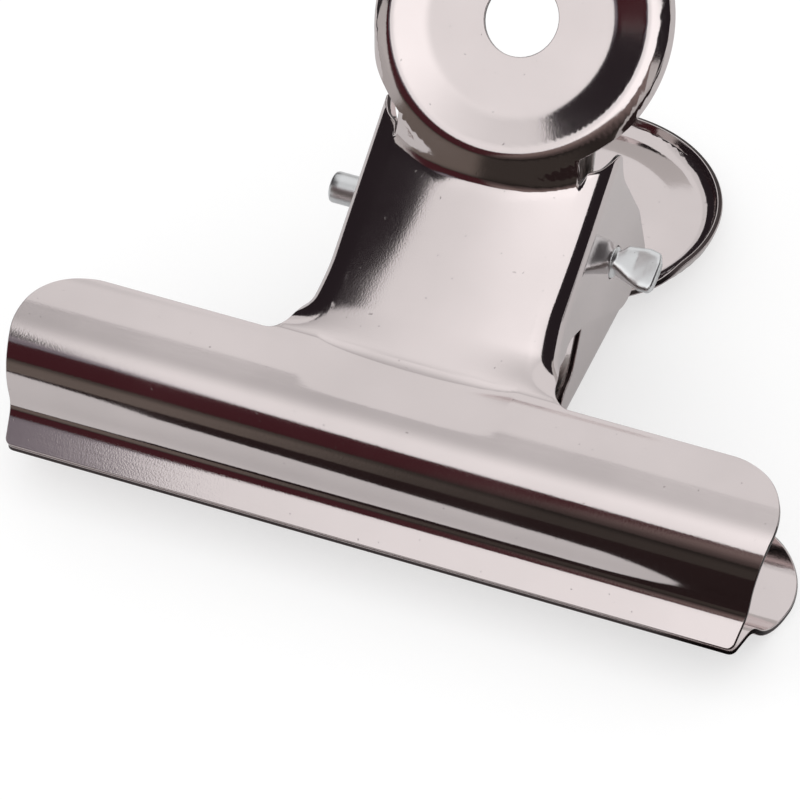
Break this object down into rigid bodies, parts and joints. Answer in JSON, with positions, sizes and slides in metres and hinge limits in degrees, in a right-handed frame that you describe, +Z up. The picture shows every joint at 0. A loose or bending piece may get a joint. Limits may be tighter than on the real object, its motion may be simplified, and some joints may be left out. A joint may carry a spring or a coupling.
{
  "type": "bulldog clip",
  "caption": "Wide sheet-steel clip: rolled jaws hinged on a pin, closed by a coiled torsion spring and opened by squeezing round thumb plates that have hanging holes.",
  "frame": {"origin": "bottom centre of the box of the clip, closed and lying on its rear half", "axes": "+X along the pivot pin, +Y from the jaws towards the thumb plates, +Z up, the way the front half faces"},
  "size_m": [0.075, 0.0648, 0.0451],
  "materials": {
    "front_sheet": "bright nickel plate on rolled sheet, fine polishing grain",
    "rear_sheet": "bright nickel plate on rolled sheet, fine polishing grain",
    "pin_steel": "nickel plated, with rough tool marks where it is crushed",
    "spring_wire": "drawn spring wire, plated"
  },
  "bodies": {
    "rear_jaw": {"rear_half": "rear_sheet", "torsion_spring": "spring_wire"},
    "front_jaw": {"front_half": "front_sheet"},
    "pin": {"pivot_pin": "pin_steel"}
  },
  "joints": [
    {"name": "jaw_hinge", "type": "hinge", "parent": "rear_jaw", "child": "front_jaw", "pos_m": [0, 0.00054, 0.01497], "axis": [-1, 0, 0], "range_deg": [0, 45], "stiffness_Nm_per_rad": 0.6, "springref_deg": -45.84, "deforming": ["torsion_spring"]},
    {"name": "pin_spin", "type": "hinge", "parent": "rear_jaw", "child": "pin", "pos_m": [0, 0.00054, 0.01497], "axis": [1, 0, 0], "continuous": true}
  ]
}
